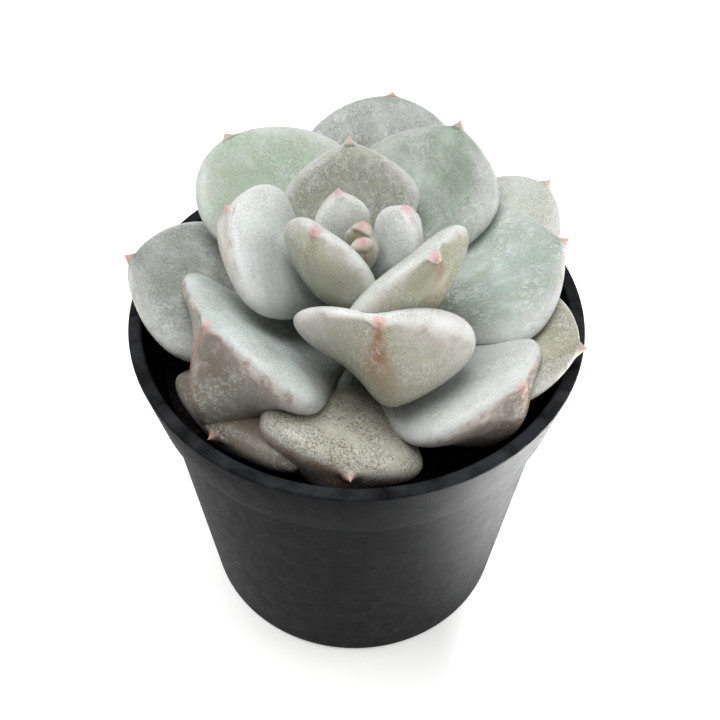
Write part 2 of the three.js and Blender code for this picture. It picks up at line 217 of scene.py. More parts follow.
class Coating:
    """A material whose colour is laid on in layers, each through fades of a real size."""

    def __init__(self, name: str, base: str, place: Optional[str] = None) -> None:
        """Starts with a bare base coat.

        Args:
            name: the material's name.
            base: the base coat's sRGB hex colour.
            place: the vector attribute that holds each point's place; object coordinates if None.
        """
        self.material = bpy.data.materials.new(name)
        self.material.use_nodes = True
        self.tree = self.material.node_tree
        self.tree.nodes.clear()
        if place is None:
            self.place = add_node(self.tree, "ShaderNodeTexCoord", output="Object")
        else:
            self.place = add_node(self.tree, "ShaderNodeAttribute", output="Vector", attribute_name=place)
        self.colour: Union[Socket, Colour] = linear(base)

    def grain(
        self, size_mm: float, detail: float = 2.0, stretch: tuple = (1.0, 1.0, 1.0), twist: float = 0.0
    ) -> Socket:
        """Noise whose blotches are about size_mm across.

        Args:
            size_mm: the size of a blotch.
            detail: how many finer layers it has.
            stretch: scales each axis, where less than 1 draws the blotches out along it.
            twist: how much the blotches curl.

        Returns:
            The noise, from 0 to 1 and mostly near 0.5.
        """
        mapped = add_node(self.tree, "ShaderNodeMapping", {"Vector": self.place, "Scale": stretch})
        return add_node(
            self.tree,
            "ShaderNodeTexNoise",
            {
                "Vector": mapped,
                "Scale": 1 / (size_mm * MM),
                "Detail": detail,
                "Roughness": 0.55,
                "Distortion": twist,
            },
            output="Fac",
        )

    def lay(self, tint: str, *fades: Fade) -> None:
        """Lays a tint over the colour so far, where all the fades let it through.

        Args:
            tint: the tint's sRGB hex colour.
            *fades: what lets it through, each multiplied by the others.
        """
        share = 1.0
        for fade in fades:
            shown = add_node(
                self.tree, "ShaderNodeMapRange", fade.inputs(), interpolation_type="SMOOTHSTEP"
            )
            share = add_node(self.tree, "ShaderNodeMath", {0: share, 1: shown}, operation="MULTIPLY")
        self.colour = add_node(
            self.tree,
            "ShaderNodeMix",
            {MIX_SHARE: share, MIX_UNDER: self.colour, MIX_OVER: linear(tint)},
            output=MIX_RESULT,
            data_type="RGBA",
        )

    def finish(
        self, roughness: Union[Fade, float], *reliefs: tuple[Socket, float], **surface: object
    ) -> bpy.types.Material:
        """Closes the material.

        Args:
            roughness: the surface's roughness, or the fade that varies it.
            *reliefs: heights from 0 to 1, each with its depth in millimetres, the lowest first.
            **surface: other Principled sockets by name, with _ for a space.

        Returns:
            The material.
        """
        inputs = {name.replace("_", " "): value for name, value in surface.items()}
        inputs["Base Color"] = self.colour
        if isinstance(roughness, Fade):
            roughness = add_node(
                self.tree, "ShaderNodeMapRange", roughness.inputs(), interpolation_type="SMOOTHSTEP"
            )
        inputs["Roughness"] = roughness
        for height, depth_mm in reliefs:
            bump = {"Height": height, "Strength": 1.0, "Distance": depth_mm * MM}
            if "Normal" in inputs:
                bump["Normal"] = inputs["Normal"]
            inputs["Normal"] = add_node(self.tree, "ShaderNodeBump", bump)
        shader = add_node(self.tree, "ShaderNodeBsdfPrincipled", inputs)
        result = self.tree.nodes.new("ShaderNodeOutputMaterial")
        self.tree.links.new(shader, result.inputs["Surface"])
        return self.material


@dataclass(frozen=True)
class WaxyLeaf:
    """Fleshy leaf skin under farina, the plant's own wax powder.

    The powder makes a matt, chalky, slightly blue surface. It lies thickest on the rim, is rubbed
    off in pale scratches and dark pores, and lets olive, tan and pink show where the skin is
    flushed by sun. The foot, which younger leaves cover, has lost its powder and is greener, and it
    is painted darker still as painted shade for the crevices between the leaves. The leaf's flesh
    lets a little light through.
    """

    name: str
    upper: str
    under: str
    cloud: str = "c3cbcb"
    rim: str = "dfe2df"
    flush: str = "8f6a4c"
    tip: str = "d4a69d"
    fleck: str = "5f5d50"
    # The foot's colour and, two lines below, its share: painted shade for the crevices between the leaves,
    # on unpowdered, greener skin.
    bare_shaded_foot: str = "646b5e"
    haze: str = "cfcbcd"
    bare_shaded_foot_share: float = 0.6
    haze_share: float = 0.5
    cloud_share: float = 0.4
    rim_share: float = 0.5
    keel_flush: float = 0.35
    rim_flush: float = 0.3
    fleck_share: float = 0.3
    scratch_share: float = 0.35
    scratch: str = "e3eae8"
    smear: str = "dfe6e4"
    cloud_mm: float = 8.0
    haze_mm: float = 7.0
    flush_mm: float = 4.0
    fleck_mm: float = 0.3
    speck_mm: float = 0.8
    fleck_patch_mm: float = 6.0
    wear_mm: float = 3.0
    scratch_mm: float = 1.1
    scratch_patch_mm: float = 9.0
    smear_mm: float = 3.2
    powder_mm: float = 0.35
    powder_depth_mm: float = 0.025
    swell_mm: float = 4.5
    swell_depth_mm: float = 0.3
    flesh_depth_mm: float = 1.6

    def build(self) -> bpy.types.Material:
        """Returns the finished node material."""
        coat = Coating(self.name, self.under, place="leaf_place")
        measures = {
            name: add_node(coat.tree, "ShaderNodeAttribute", output="Fac", attribute_name=name)
            for name in ("across", "along", "facing", "to_tip")
        }
        for size, side in (("aside", "across"), ("flatness", "facing")):
            measures[size] = add_node(
                coat.tree, "ShaderNodeMath", {0: measures[side]}, operation="ABSOLUTE"
            )
        # The under colour is the base, and the upper colour is laid on the upper face. The under colours
        # are set darker than the upper partly as painted shade under the leaves, and partly for their own
        # olive, brown and lavender tone.
        coat.lay(self.upper, Fade(measures["facing"], -0.45, 0.45))
        coat.lay(self.cloud, Fade(coat.grain(self.cloud_mm, 3.0), 0.4, 0.64, self.cloud_share))
        coat.lay(
            self.haze,
            Fade(measures["aside"], 0.35, 1.0, self.haze_share),
            Fade(coat.grain(self.haze_mm, 3.0), 0.25, 0.6),
        )
        # Painted shade at the foot of the leaf, where the crevices between the leaves are, laid on its
        # unpowdered, greener skin.
        coat.lay(self.bare_shaded_foot, Fade(measures["along"], 0.68, 0.2, self.bare_shaded_foot_share))
        self._flush(coat, measures)
        self._fleck(coat)
        self._powder_rim(coat, measures)
        self._scratch(coat)
        coat.lay(self.tip, Fade(measures["to_tip"], 2.6, 0.5, 0.8))
        return self._surface(coat)

    def _flush(self, coat: Coating, measures: dict[str, Socket]) -> None:
        """Sun flush: brown along the ridge below and under the rim, stronger towards the tip."""
        patchy = Fade(coat.grain(self.flush_mm, 4.0), 0.1, 0.6)
        ridge = Fade(measures["aside"], 0.42, 0.0)
        below = Fade(measures["facing"], 0.05, -0.35)
        late = Fade(measures["along"], 0.5, 1.0, self.keel_flush)
        coat.lay(self.flush, below, ridge, late, patchy)
        low_edge = Fade(measures["facing"], 0.25, -0.1)
        off_ridge = Fade(measures["facing"], -0.9, -0.4)
        last = Fade(measures["along"], 0.6, 0.95, self.rim_flush)
        coat.lay(self.flush, low_edge, off_ridge, last, patchy)

    def _fleck(self, coat: Coating) -> None:
        """Pores and grains where the powder is thin: fine dark flecks in loose patches."""
        fine = Fade(coat.grain(self.fleck_mm), 0.44, 0.62)
        patches = Fade(coat.grain(self.fleck_patch_mm, 3.0), 0.28, 0.56, self.fleck_share)
        coat.lay(self.fleck, fine, patches)
        coat.lay(self.fleck, Fade(coat.grain(self.speck_mm), 0.68, 0.76, 0.6 * self.fleck_share))

    def _powder_rim(self, coat: Coating, measures: dict[str, Socket]) -> None:
        """Thick white powder on the blunt rim, worn in places."""
        edge = Fade(measures["flatness"], 0.85, 0.1, self.rim_share)
        coat.lay(self.rim, edge, Fade(coat.grain(self.wear_mm, 4.0), 0.3, 0.55))

    def _scratch(self, coat: Coating) -> None:
        """Short pale rubs and smears in the powder, in patches, mostly along the leaf."""
        strokes = coat.grain(self.scratch_mm, 3.0, stretch=(1.0, 0.5, 1.0), twist=1.6)
        where = Fade(coat.grain(self.scratch_patch_mm), 0.38, 0.66, self.scratch_share)
        coat.lay(self.scratch, Fade(strokes, 0.53, 0.6), Fade(strokes, 0.68, 0.6), where)
        smears = coat.grain(self.smear_mm, 3.0, stretch=(1.0, 0.6, 1.0))
        coat.lay(self.smear, Fade(smears, 0.5, 0.9, self.scratch_share))

    def _surface(self, coat: Coating) -> bpy.types.Material:
        """The powder's matt surface, with fine grain and slow swells."""
        powder = coat.grain(self.powder_mm)
        return coat.finish(
            Fade(powder, 0.2, 0.9, 0.75),
            (powder, self.powder_depth_mm),
            (coat.grain(self.swell_mm, 3.0), self.swell_depth_mm),
            IOR=1.42,
            Specular_IOR_Level=0.3,
            Sheen_Weight=0.1,
            Sheen_Roughness=0.5,
            Subsurface_Weight=0.15,
            Subsurface_Radius=(1.0, 0.9, 0.6),
            Subsurface_Scale=self.flesh_depth_mm * MM,
        )


BUD_SKIN = WaxyLeaf("pink_bud_skin", upper="b3ac98", under="a59b86", tip="dcb0b0", rim_share=0.3)
CORE_SKIN = WaxyLeaf("young_leaf_skin", upper="dcdfd8", under="dcddd8", tip="dcb2b4", scratch_share=0.2)
# Painted light: a paler copy of the young leaf's skin, for a core leaf that faces away from the lamps.
LIT_CORE = WaxyLeaf("lit_young_skin", upper="eceeed", under="e2e3df", cloud="dcdfe0", tip="dcb2b4")
OLIVE_BACKED = WaxyLeaf("olive_backed_skin", upper="cfd3cc", under="b0b09a", cloud="b6bbb2", tip="d3a8a4")
OLIVE_SHADED = WaxyLeaf(
    "olive_shaded_skin", upper="cfd3cc", under="98997f", cloud="a2a794", rim="e6e8e4", tip="d3a8a4",
    keel_flush=0.6, haze_share=0.25,
)
PALE_OLIVE = WaxyLeaf(
    "pale_olive_skin", upper="e9ebe8", under="a3a28e", cloud="abaa9f", rim="e6e7e4", keel_flush=0.9
)
PALE_BLUE = WaxyLeaf("pale_blue_skin", upper="dfe4e0", under="c5bdad", rim="e4e8e6", keel_flush=0.6)
SPECKLED_GREY = WaxyLeaf(
    "speckled_grey_skin", upper="a3a496", under="a5a598", cloud="9a9c94", fleck_share=0.5
)
SOFT_GREEN = WaxyLeaf("soft_green_skin", upper="abbaa6", under="a9a89c", cloud="c6cfcc")
WORN_GREEN = WaxyLeaf("worn_green_skin", upper="8c9a8b", under="95948a", cloud="adb5b0", fleck_share=0.4)
BLUE_GREEN = WaxyLeaf(
    "blue_green_skin", upper="a3b0a4", under="9d9e93", cloud="b8c5c5", scratch_share=0.5
)
BROWN_BACKED = WaxyLeaf(
    "brown_backed_skin", upper="c6d0ce", under="746a5d", cloud="a9aca4", flush="8a5f43",
    keel_flush=0.8, rim_flush=0.8, haze_share=0.25,
)
TAN_BACKED = WaxyLeaf(
    "tan_backed_skin", upper="cdd2cf", under="75685c", cloud="b4b3ac", flush="8f6650",
    keel_flush=0.8, rim_flush=0.8, haze_share=0.25, scratch_share=0.45,
)
# A darker copy of the blue-grey skin: partly painted shade, for leaves that face away from the light, and
# partly the leaf's own speckled, worn powder.
SHADED_WORN_GREY = WaxyLeaf(
    "shaded_worn_grey_skin", upper="9a9e98", under="77756e", cloud="b3b8b5",
    fleck_share=0.5, haze_share=0.25,
)
PALE_BEIGE = WaxyLeaf("pale_beige_skin", upper="c4c6bc", under="aca598", cloud="d0d3cd", fleck_share=0.4)
SPECKLED_BEIGE = WaxyLeaf(
    "speckled_beige_skin", upper="a3a18e", under="9c907c", cloud="b2b1a2", fleck_share=0.6
)
SPECKLED_BROWN = WaxyLeaf(
    "speckled_brown_skin", upper="aaa797", under="7c6552", cloud="bcbaae", fleck="55503f", haze_share=0.15,
    flush="94694b", keel_flush=0.9, rim_flush=0.9, rim_share=0.2, fleck_share=0.75, fleck_mm=0.36,
)
SHADED_BEIGE = WaxyLeaf("shaded_beige_skin", upper="a39f8f", under="938a7b", fleck_share=0.5)
# Painted shade: a brownish old leaf's skin, made much darker in every colour, rim and tip too, for a low
# leaf that lies in the shade of the leaves above it.
SHADED_OLD = WaxyLeaf(
    "shaded_old_brown_skin", upper="675d50", under="453d35", cloud="5e574e", rim="8f8a80", flush="5a4232",
    tip="b98d7c", haze_share=0.1, keel_flush=0.7, rim_flush=0.7, rim_share=0.2, fleck_share=0.5,
)


@dataclass(frozen=True)
class MouldedPlastic:
    """Black recycled polypropylene, injection moulded.

    It has a satin skin with faint upright flow lines, grey scuffs and dust where it is handled.
    """

    name: str = "black_moulded_polypropylene"
    base: str = "0a0a0c"
    flow: str = "111214"
    scuff: str = "3c3e42"
    dust: str = "8a8a88"
    worn: str = "55585c"
    flow_mm: float = 2.2
    flow_depth_mm: float = 0.05
    scuff_mm: float = 1.2
    scuff_patch_mm: float = 12.0
    dust_mm: float = 0.5
    dust_patch_mm: float = 14.0
    wear_mm: float = 5.0
    wear_height_mm: float = 0.8
    gloss_mm: float = 3.0
    skin_mm: float = 0.5
    skin_depth_mm: float = 0.02
    rim_height: float = 76.0

    def build(self) -> bpy.types.Material:
        """Returns the finished node material."""
        coat = Coating(self.name, self.base)
        flow = coat.grain(self.flow_mm, 3.0, stretch=(1.0, 1.0, 0.05))
        coat.lay(self.flow, Fade(flow, 0.4, 0.75, 0.4))
        coat.lay(
            self.scuff,
            Fade(coat.grain(self.scuff_mm, 4.0, stretch=(1.0, 1.0, 0.35)), 0.58, 0.7),
            Fade(coat.grain(self.scuff_patch_mm), 0.52, 0.7, 0.25),
        )
        coat.lay(
            self.dust,
            Fade(coat.grain(self.dust_mm), 0.68, 0.74),
            Fade(coat.grain(self.dust_patch_mm), 0.52, 0.7, 0.3),
        )
        height = add_node(coat.tree, "ShaderNodeSeparateXYZ", {"Vector": coat.place}, output="Z")
        coat.lay(
            self.worn,
            Fade(height, (self.rim_height - self.wear_height_mm) * MM, self.rim_height * MM, 0.3),
            Fade(coat.grain(self.wear_mm, 4.0, twist=0.5), 0.2, 0.8),
        )
        # The range is wide, so that the gloss varies only a little.
        return coat.finish(
            Fade(coat.grain(self.gloss_mm, 3.0), -3.0, 3.4, 0.9),
            (coat.grain(self.skin_mm), self.skin_depth_mm),
            (flow, self.flow_depth_mm),
            IOR=1.49,
            Specular_IOR_Level=0.03,
        )


@dataclass(frozen=True)
class PeatMix:
    """Dark moist peat and bark fines, matt and crumbly."""

    name: str = "moist_peat_mix"
    dark: str = "0e0b0a"
    light: str = "2b231c"
    crumb_mm: float = 1.4
    crumb_depth_mm: float = 0.5

    def build(self) -> bpy.types.Material:
        """Returns the finished node material."""
        coat = Coating(self.name, self.dark)
        crumbs = coat.grain(self.crumb_mm, 5.0)
        coat.lay(self.light, Fade(crumbs, 0.48, 0.78))
        return coat.finish(0.95, (crumbs, self.crumb_depth_mm), Specular_IOR_Level=0.15)


@dataclass(frozen=True)
class StemSkin:
    """Short green-brown stem with dry leaf scars, matt and a little rough."""

    name: str = "scarred_green_stem"
    skin: str = "8d9378"
    scar: str = "6c5b45"
    scar_mm: float = 2.5
    scar_depth_mm: float = 0.25

    def build(self) -> bpy.types.Material:
        """Returns the finished node material."""
        coat = Coating(self.name, self.skin)
        scars = coat.grain(self.scar_mm, 4.0, stretch=(1.0, 1.0, 2.5))
        coat.lay(self.scar, Fade(scars, 0.4, 0.65))
        return coat.finish(0.75, (scars, self.scar_depth_mm))


@dataclass(frozen=True)
class MattCard:
    """Pale matt card under the pot, lit through from below so that it stays white."""

    name: str = "pale_matt_card"
    tint: str = "f6f6f4"
    glow: str = "ffffff"
    glow_strength: float = 0.42

    def build(self) -> bpy.types.Material:
        """Returns the finished node material."""
        coat = Coating(self.name, self.tint)
        return coat.finish(0.9, Emission_Color=linear(self.glow), Emission_Strength=self.glow_strength)


# ---------------------------------------------------------------- the pot
@dataclass
class NurseryPot:
    """The pot: a thin tapered shell with a rim band, a flat floor and drain holes."""

    band_height: float = 15.0
    band_taper: float = 3.3
    band_step: float = 1.6
    rim_width: float = 2.7
    wall: float = 1.4
    ledge_drop: float = 1.2
    drain_count: int = 6
    drain_radius: float = 3.5
    drain_circle_radius: float = 22.0
    base_radius: float = 33.0
    edge_radii: tuple[float, ...] = (0.9, 0.5, 0.5, 0.7, 0.6, 0.8, 0.8, 0.8)
    steps: int = 216
    drill_sides: int = 40
    height: float = field(init=False)
    rim_radius: float = field(init=False)

    def __post_init__(self) -> None:
        """Takes the overall size from the CAD pot."""
        low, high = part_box("pot")
        self.height = high.z / MM
        self.rim_radius = (high.x - low.x) / 2 / MM

    @property
    def band_foot(self) -> float:
        """Height of the lower edge of the rim band."""
        return self.height - self.band_height

    @property
    def mouth_radius(self) -> float:
        """Inner radius of the rim."""
        return self.rim_radius - self.rim_width

    def wall_radius(self, height: float) -> float:
        """Outer radius of the tapered wall at a height."""
        neck = self.rim_radius - self.band_taper - self.band_step
        return self.base_radius + (neck - self.base_radius) * height / self.band_foot

    def inner_radius(self, height: float) -> float:
        """Inner radius of the pot at a height, below the rim."""
        if height > self.band_foot:
            share = (height - self.band_foot) / self.band_height
            low = self.rim_radius - self.band_taper - self.rim_width
            return low + (self.mouth_radius - low) * share
        return self.wall_radius(height) - self.wall

    def profile(self) -> list[tuple[float, float]]:
        """The wall's section as radius and height, from the underside's centre round to the floor's."""
        foot = self.band_foot
        band_radius = self.rim_radius - self.band_taper
        ledge = foot - self.ledge_drop
        return [
            (0.0, 0.0),
            (self.base_radius, 0.0),
            (self.wall_radius(foot), foot),
            (band_radius, foot),
            (self.rim_radius, self.height),
            (self.mouth_radius, self.height),
            (band_radius - self.rim_width, foot),
            (self.inner_radius(ledge), ledge),
            (self.inner_radius(self.wall), self.wall),
            (0.0, self.wall),
        ]

    def build(self) -> bpy.types.Object:
        """Builds the shell, rounds its edges and drills its drain holes.

        Returns:
            The finished piece.
        """
        shape = bmesh.new()
        corners = [shape.verts.new((radius, 0.0, height)) for radius, height in self.profile()]
        for pair in zip(corners[:-1], corners[1:]):
            shape.edges.new(pair)
        for corner, radius in zip(corners[1:-1], self.edge_radii):
            bmesh.ops.bevel(
                shape,
                geom=[corner],
                offset=radius,
                segments=4,
                profile=0.5,
                affect="VERTICES",
                material=-1,
            )
        turn_round(shape, self.steps)
        plastic = MouldedPlastic(rim_height=self.height).build()
        piece = finish_piece(shape, "moulded_pot", plastic, ("pot",))
        self._drill(piece)
        return piece

    def _drill(self, piece: bpy.types.Object) -> None:
        """Cuts the drain holes through the floor."""
        drills = bmesh.new()
        for i in range(self.drain_count):
            angle = 2 * math.pi * (i + 0.5) / self.drain_count
            at = Vector((math.cos(angle), math.sin(angle), 0.0)) * self.drain_circle_radius
            bmesh.ops.create_cone(
                drills,
                cap_ends=True,
                segments=self.drill_sides,
                radius1=self.drain_radius,
                radius2=self.drain_radius,
                depth=4 * self.wall,
                matrix=Matrix.Translation(at),
            )
        bmesh.ops.scale(drills, vec=(MM, MM, MM), verts=drills.verts)
        mesh = bpy.data.meshes.new("drain_drills")
        drills.to_mesh(mesh)
        drills.free()
        cutter = bpy.data.objects.new("drain_drills", mesh)
        bpy.context.scene.collection.objects.link(cutter)
        modifier = piece.modifiers.new("drain_holes", "BOOLEAN")
        modifier.object = cutter
        modifier.operation = "DIFFERENCE"
        bpy.context.view_layer.update()
        evaluated = piece.evaluated_get(bpy.context.evaluated_depsgraph_get())
        cut = bpy.data.meshes.new_from_object(evaluated)
        piece.modifiers.remove(modifier)
        piece.data = cut
        bpy.data.objects.remove(cutter)


# ---------------------------------------------------------------- the soil and the stem
@dataclass
class PottedSoil:
    """The mix in the pot: a body with a lumpy surface, and loose crumbs on it."""

    pot: NurseryPot
    clearance: float = 0.3
    crown: float = 1.5
    lump_height: float = 0.88
    lump_size: float = 6.0
    fine_lump_size: float = 2.2
    rings: int = 26
    steps: int = 96
    crumb_count: int = 420
    crumb_radius: tuple[float, float] = (0.35, 1.1)
    crumb_roughness: float = 0.35
    crumb_margin: float = 2.0
    seed: int = 7
    top: float = field(init=False)

    def __post_init__(self) -> None:
        """Takes the height of the surface from the CAD soil."""
        self.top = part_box("soil")[1].z / MM - self.crown

    def surface(self, x: float, y: float) -> float:
        """Height of the surface at a point."""
        coarse = noise.noise(Vector((x, y, 0.0)) / self.lump_size)
        fine = noise.noise(Vector((x, y, 5.0)) / self.fine_lump_size)
        return self.top + self.lump_height * (coarse + 0.5 * fine)

    def build(self) -> list[bpy.types.Object]:
        """Builds the body of the soil and what lies loose on it."""
        return [self._body(), self._crumbs()]

    def _body(self) -> bpy.types.Object:
        """The filled body, turned to the pot's inside, with a lumpy top."""
        floor = self.pot.wall + self.clearance
        edge = self.pot.inner_radius(self.top) - self.clearance
        ledge = self.pot.band_foot - self.pot.ledge_drop
        shape = bmesh.new()
        points = [
            (0.0, floor),
            (self.pot.inner_radius(floor) - self.clearance, floor),
            (self.pot.inner_radius(ledge) - self.clearance, ledge),
            (edge - self.clearance, self.top),
        ]
        points += [(edge * (1 - (i + 1) / self.rings), self.top) for i in range(self.rings)]
        corners = [shape.verts.new((radius, 0.0, height)) for radius, height in points]
        for pair in zip(corners[:-1], corners[1:]):
            shape.edges.new(pair)
        turn_round(shape, self.steps)
        for vert in shape.verts:
            if vert.co.z > self.top - FLAT and math.hypot(vert.co.x, vert.co.y) < edge - 1.0:
                vert.co.z = self.surface(vert.co.x, vert.co.y)
        return finish_piece(shape, "potted_soil", PeatMix().build(), ("soil",))

    def _crumbs(self) -> bpy.types.Object:
        """Loose crumbs: small lumps half sunk in the surface."""
        random = np.random.default_rng(self.seed)
        shape = bmesh.new()
        reach = self.pot.inner_radius(self.top) - self.crumb_margin
        for _ in range(self.crumb_count):
            radius = reach * math.sqrt(random.uniform(0.02, 1.0))
            angle = random.uniform(0, 2 * math.pi)
            size = random.uniform(*self.crumb_radius)
            x, y = radius * math.cos(angle), radius * math.sin(angle)
            made = bmesh.ops.create_icosphere(shape, subdivisions=1, radius=size)["verts"]
            for vert in made:
                vert.co *= 1.0 + self.crumb_roughness * random.uniform(-1, 1)
            bmesh.ops.scale(shape, vec=(1.0, random.uniform(0.6, 1.0), 0.7), verts=made)
            turn = Matrix.Rotation(random.uniform(0, 6.28), 3, "Z")
            bmesh.ops.rotate(shape, cent=(0, 0, 0), matrix=turn, verts=made)
            bmesh.ops.translate(shape, vec=(x, y, self.surface(x, y) + 0.2 * size), verts=made)
        peat = PeatMix("peat_crumbs", dark="15110e", light="4a3c30").build()
        return finish_piece(shape, "soil_crumbs", peat)


@dataclass
class Stem:
    """The short stem that carries the rosette, swollen at its rings of leaf scars."""

    rings: int = 26
    ring_depth: float = 0.12
    heights: int = 60
    steps: int = 48
    taper_start: float = 0.7
    taper: float = 0.62

    def build(self) -> bpy.types.Object:
        """Builds the stem inside the CAD stem's box.

        Returns:
            The finished piece.
        """
        low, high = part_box("stem")
        foot, top = low.z / MM, high.z / MM
        radius = (high.x - low.x) / 2 / MM
        shape = bmesh.new()
        corners = [shape.verts.new((0.0, 0.0, foot))]
        for i in range(self.heights):
            share = i / (self.heights - 1)
            height = foot + (top - foot) * share
            late = max(0.0, share - self.taper_start) / (1 - self.taper_start)
            narrow = 1 - self.taper * late
            ripple = self.ring_depth * (1 - math.cos(2 * math.pi * self.rings * share)) / 2
            end = min(1.0, 12 * min(share, 1 - share) + 0.15)
            corners.append(shape.verts.new(((radius * narrow - ripple) * end**0.5, 0.0, height)))
        corners.append(shape.verts.new((0.0, 0.0, top)))
        for pair in zip(corners[:-1], corners[1:]):
            shape.edges.new(pair)
        turn_round(shape, self.steps)
        return finish_piece(shape, "rosette_stem", StemSkin().build(), ("stem",))


# ---------------------------------------------------------------- the leaves
@dataclass(frozen=True)
class Leaf:
    """One leaf: angles in degrees, lengths in millimetres, heights above the pot's rim.

    heading is 270 to the front, 0 to the right and 90 to the back. reach is how far the tip is
    from the plant's axis. rise and climb are the slopes where the leaf starts and ends. keel is
    the depth of the ridge below, and trough how far the blade folds up at its edges.
    """

    node: str
    skin: WaxyLeaf
    slot: Slot
    heading: float
    reach: float
    tip: float
    foot: float
    rise: float
    climb: float
    width: float
    thickness: float
    keel: float
    trough: float
    roll: float = 0.0
    bow: float = 0.0
    wide: float = 0.64
    point: float = 1.8
    end: float = 0.62
    flank: float = 1.5
    other_flank: Optional[float] = None
    lean: float = 0.0
    skew: float = 0.0
    hook: float = 0.0
    tip_length: float = 1.8
    tip_radius: float = 1.3
    neck: float = 0.3
    foot_share: float = 0.55
    bluntness: float = 4.0
    ridge_rounding: float = 0.25

    def axes(self) -> tuple[np.ndarray, np.ndarray]:
        """The directions outwards and sideways, both level."""
        angle = math.radians(self.heading)
        outward = np.array([math.cos(angle), math.sin(angle), 0.0])
        sideways = np.array([-math.sin(angle), math.cos(angle), 0.0])
        return outward, sideways

    def spine(self, start_radius: float, rim: float) -> tuple[np.ndarray, np.ndarray, float]:
        """The leaf's centre line as a cubic curve.

        Args:
            start_radius: distance from the plant's axis at which the leaf begins.
            rim: height of the pot's rim.

        Returns:
            Points and tangents at even steps of length, and the whole length.
        """
        outward, _ = self.axes()
        upward = np.array([0.0, 0.0, 1.0])
        start = outward * start_radius + upward * (rim + self.foot)
        finish = outward * self.reach + upward * (rim + self.tip)
        handle = SPINE_HANDLE * float(np.linalg.norm(finish - start))
        slopes = [math.radians(self.rise), math.radians(self.climb)]
        ways = [outward * math.cos(s) + upward * math.sin(s) for s in slopes]
        t = np.linspace(0, 1, SPINE_POINTS)[:, None]
        curve = (
            (1 - t) ** 3 * start
            + 3 * t * (1 - t) ** 2 * (start + handle * ways[0])
            + 3 * t**2 * (1 - t) * (finish - handle * ways[1])
            + t**3 * finish
        )
        steps = np.linalg.norm(np.diff(curve, axis=0), axis=1)
        reached = np.concatenate([[0.0], np.cumsum(steps)])
        even = np.linspace(0, reached[-1], SPINE_POINTS)
        points = np.stack([np.interp(even, reached, curve[:, i]) for i in range(3)], axis=1)
        tangents = np.gradient(points, axis=0)
        tangents /= np.linalg.norm(tangents, axis=1)[:, None]
        return points, tangents, float(reached[-1])

    def outline(self, along: np.ndarray) -> np.ndarray:
        """Half width as a share of the whole, from foot (0) to tip (1)."""
        start = self.neck + (1 - self.neck) * ease(along / self.wide) ** 1.6
        late = clamp01((along - self.wide) / (1 - self.wide))
        return np.where(along < self.wide, start, (1 - late**self.point) ** self.end)

    def fullness(self, along: np.ndarray) -> np.ndarray:
        """Thickness as a share of the whole, from foot (0) to tip (1)."""
        start = self.foot_share + (1 - self.foot_share) * ease(along / THICKEST)
        late = clamp01((along - THICKEST) / (1 - THICKEST))
        return np.where(along < THICKEST, start, np.sqrt(1 - late**2.4))


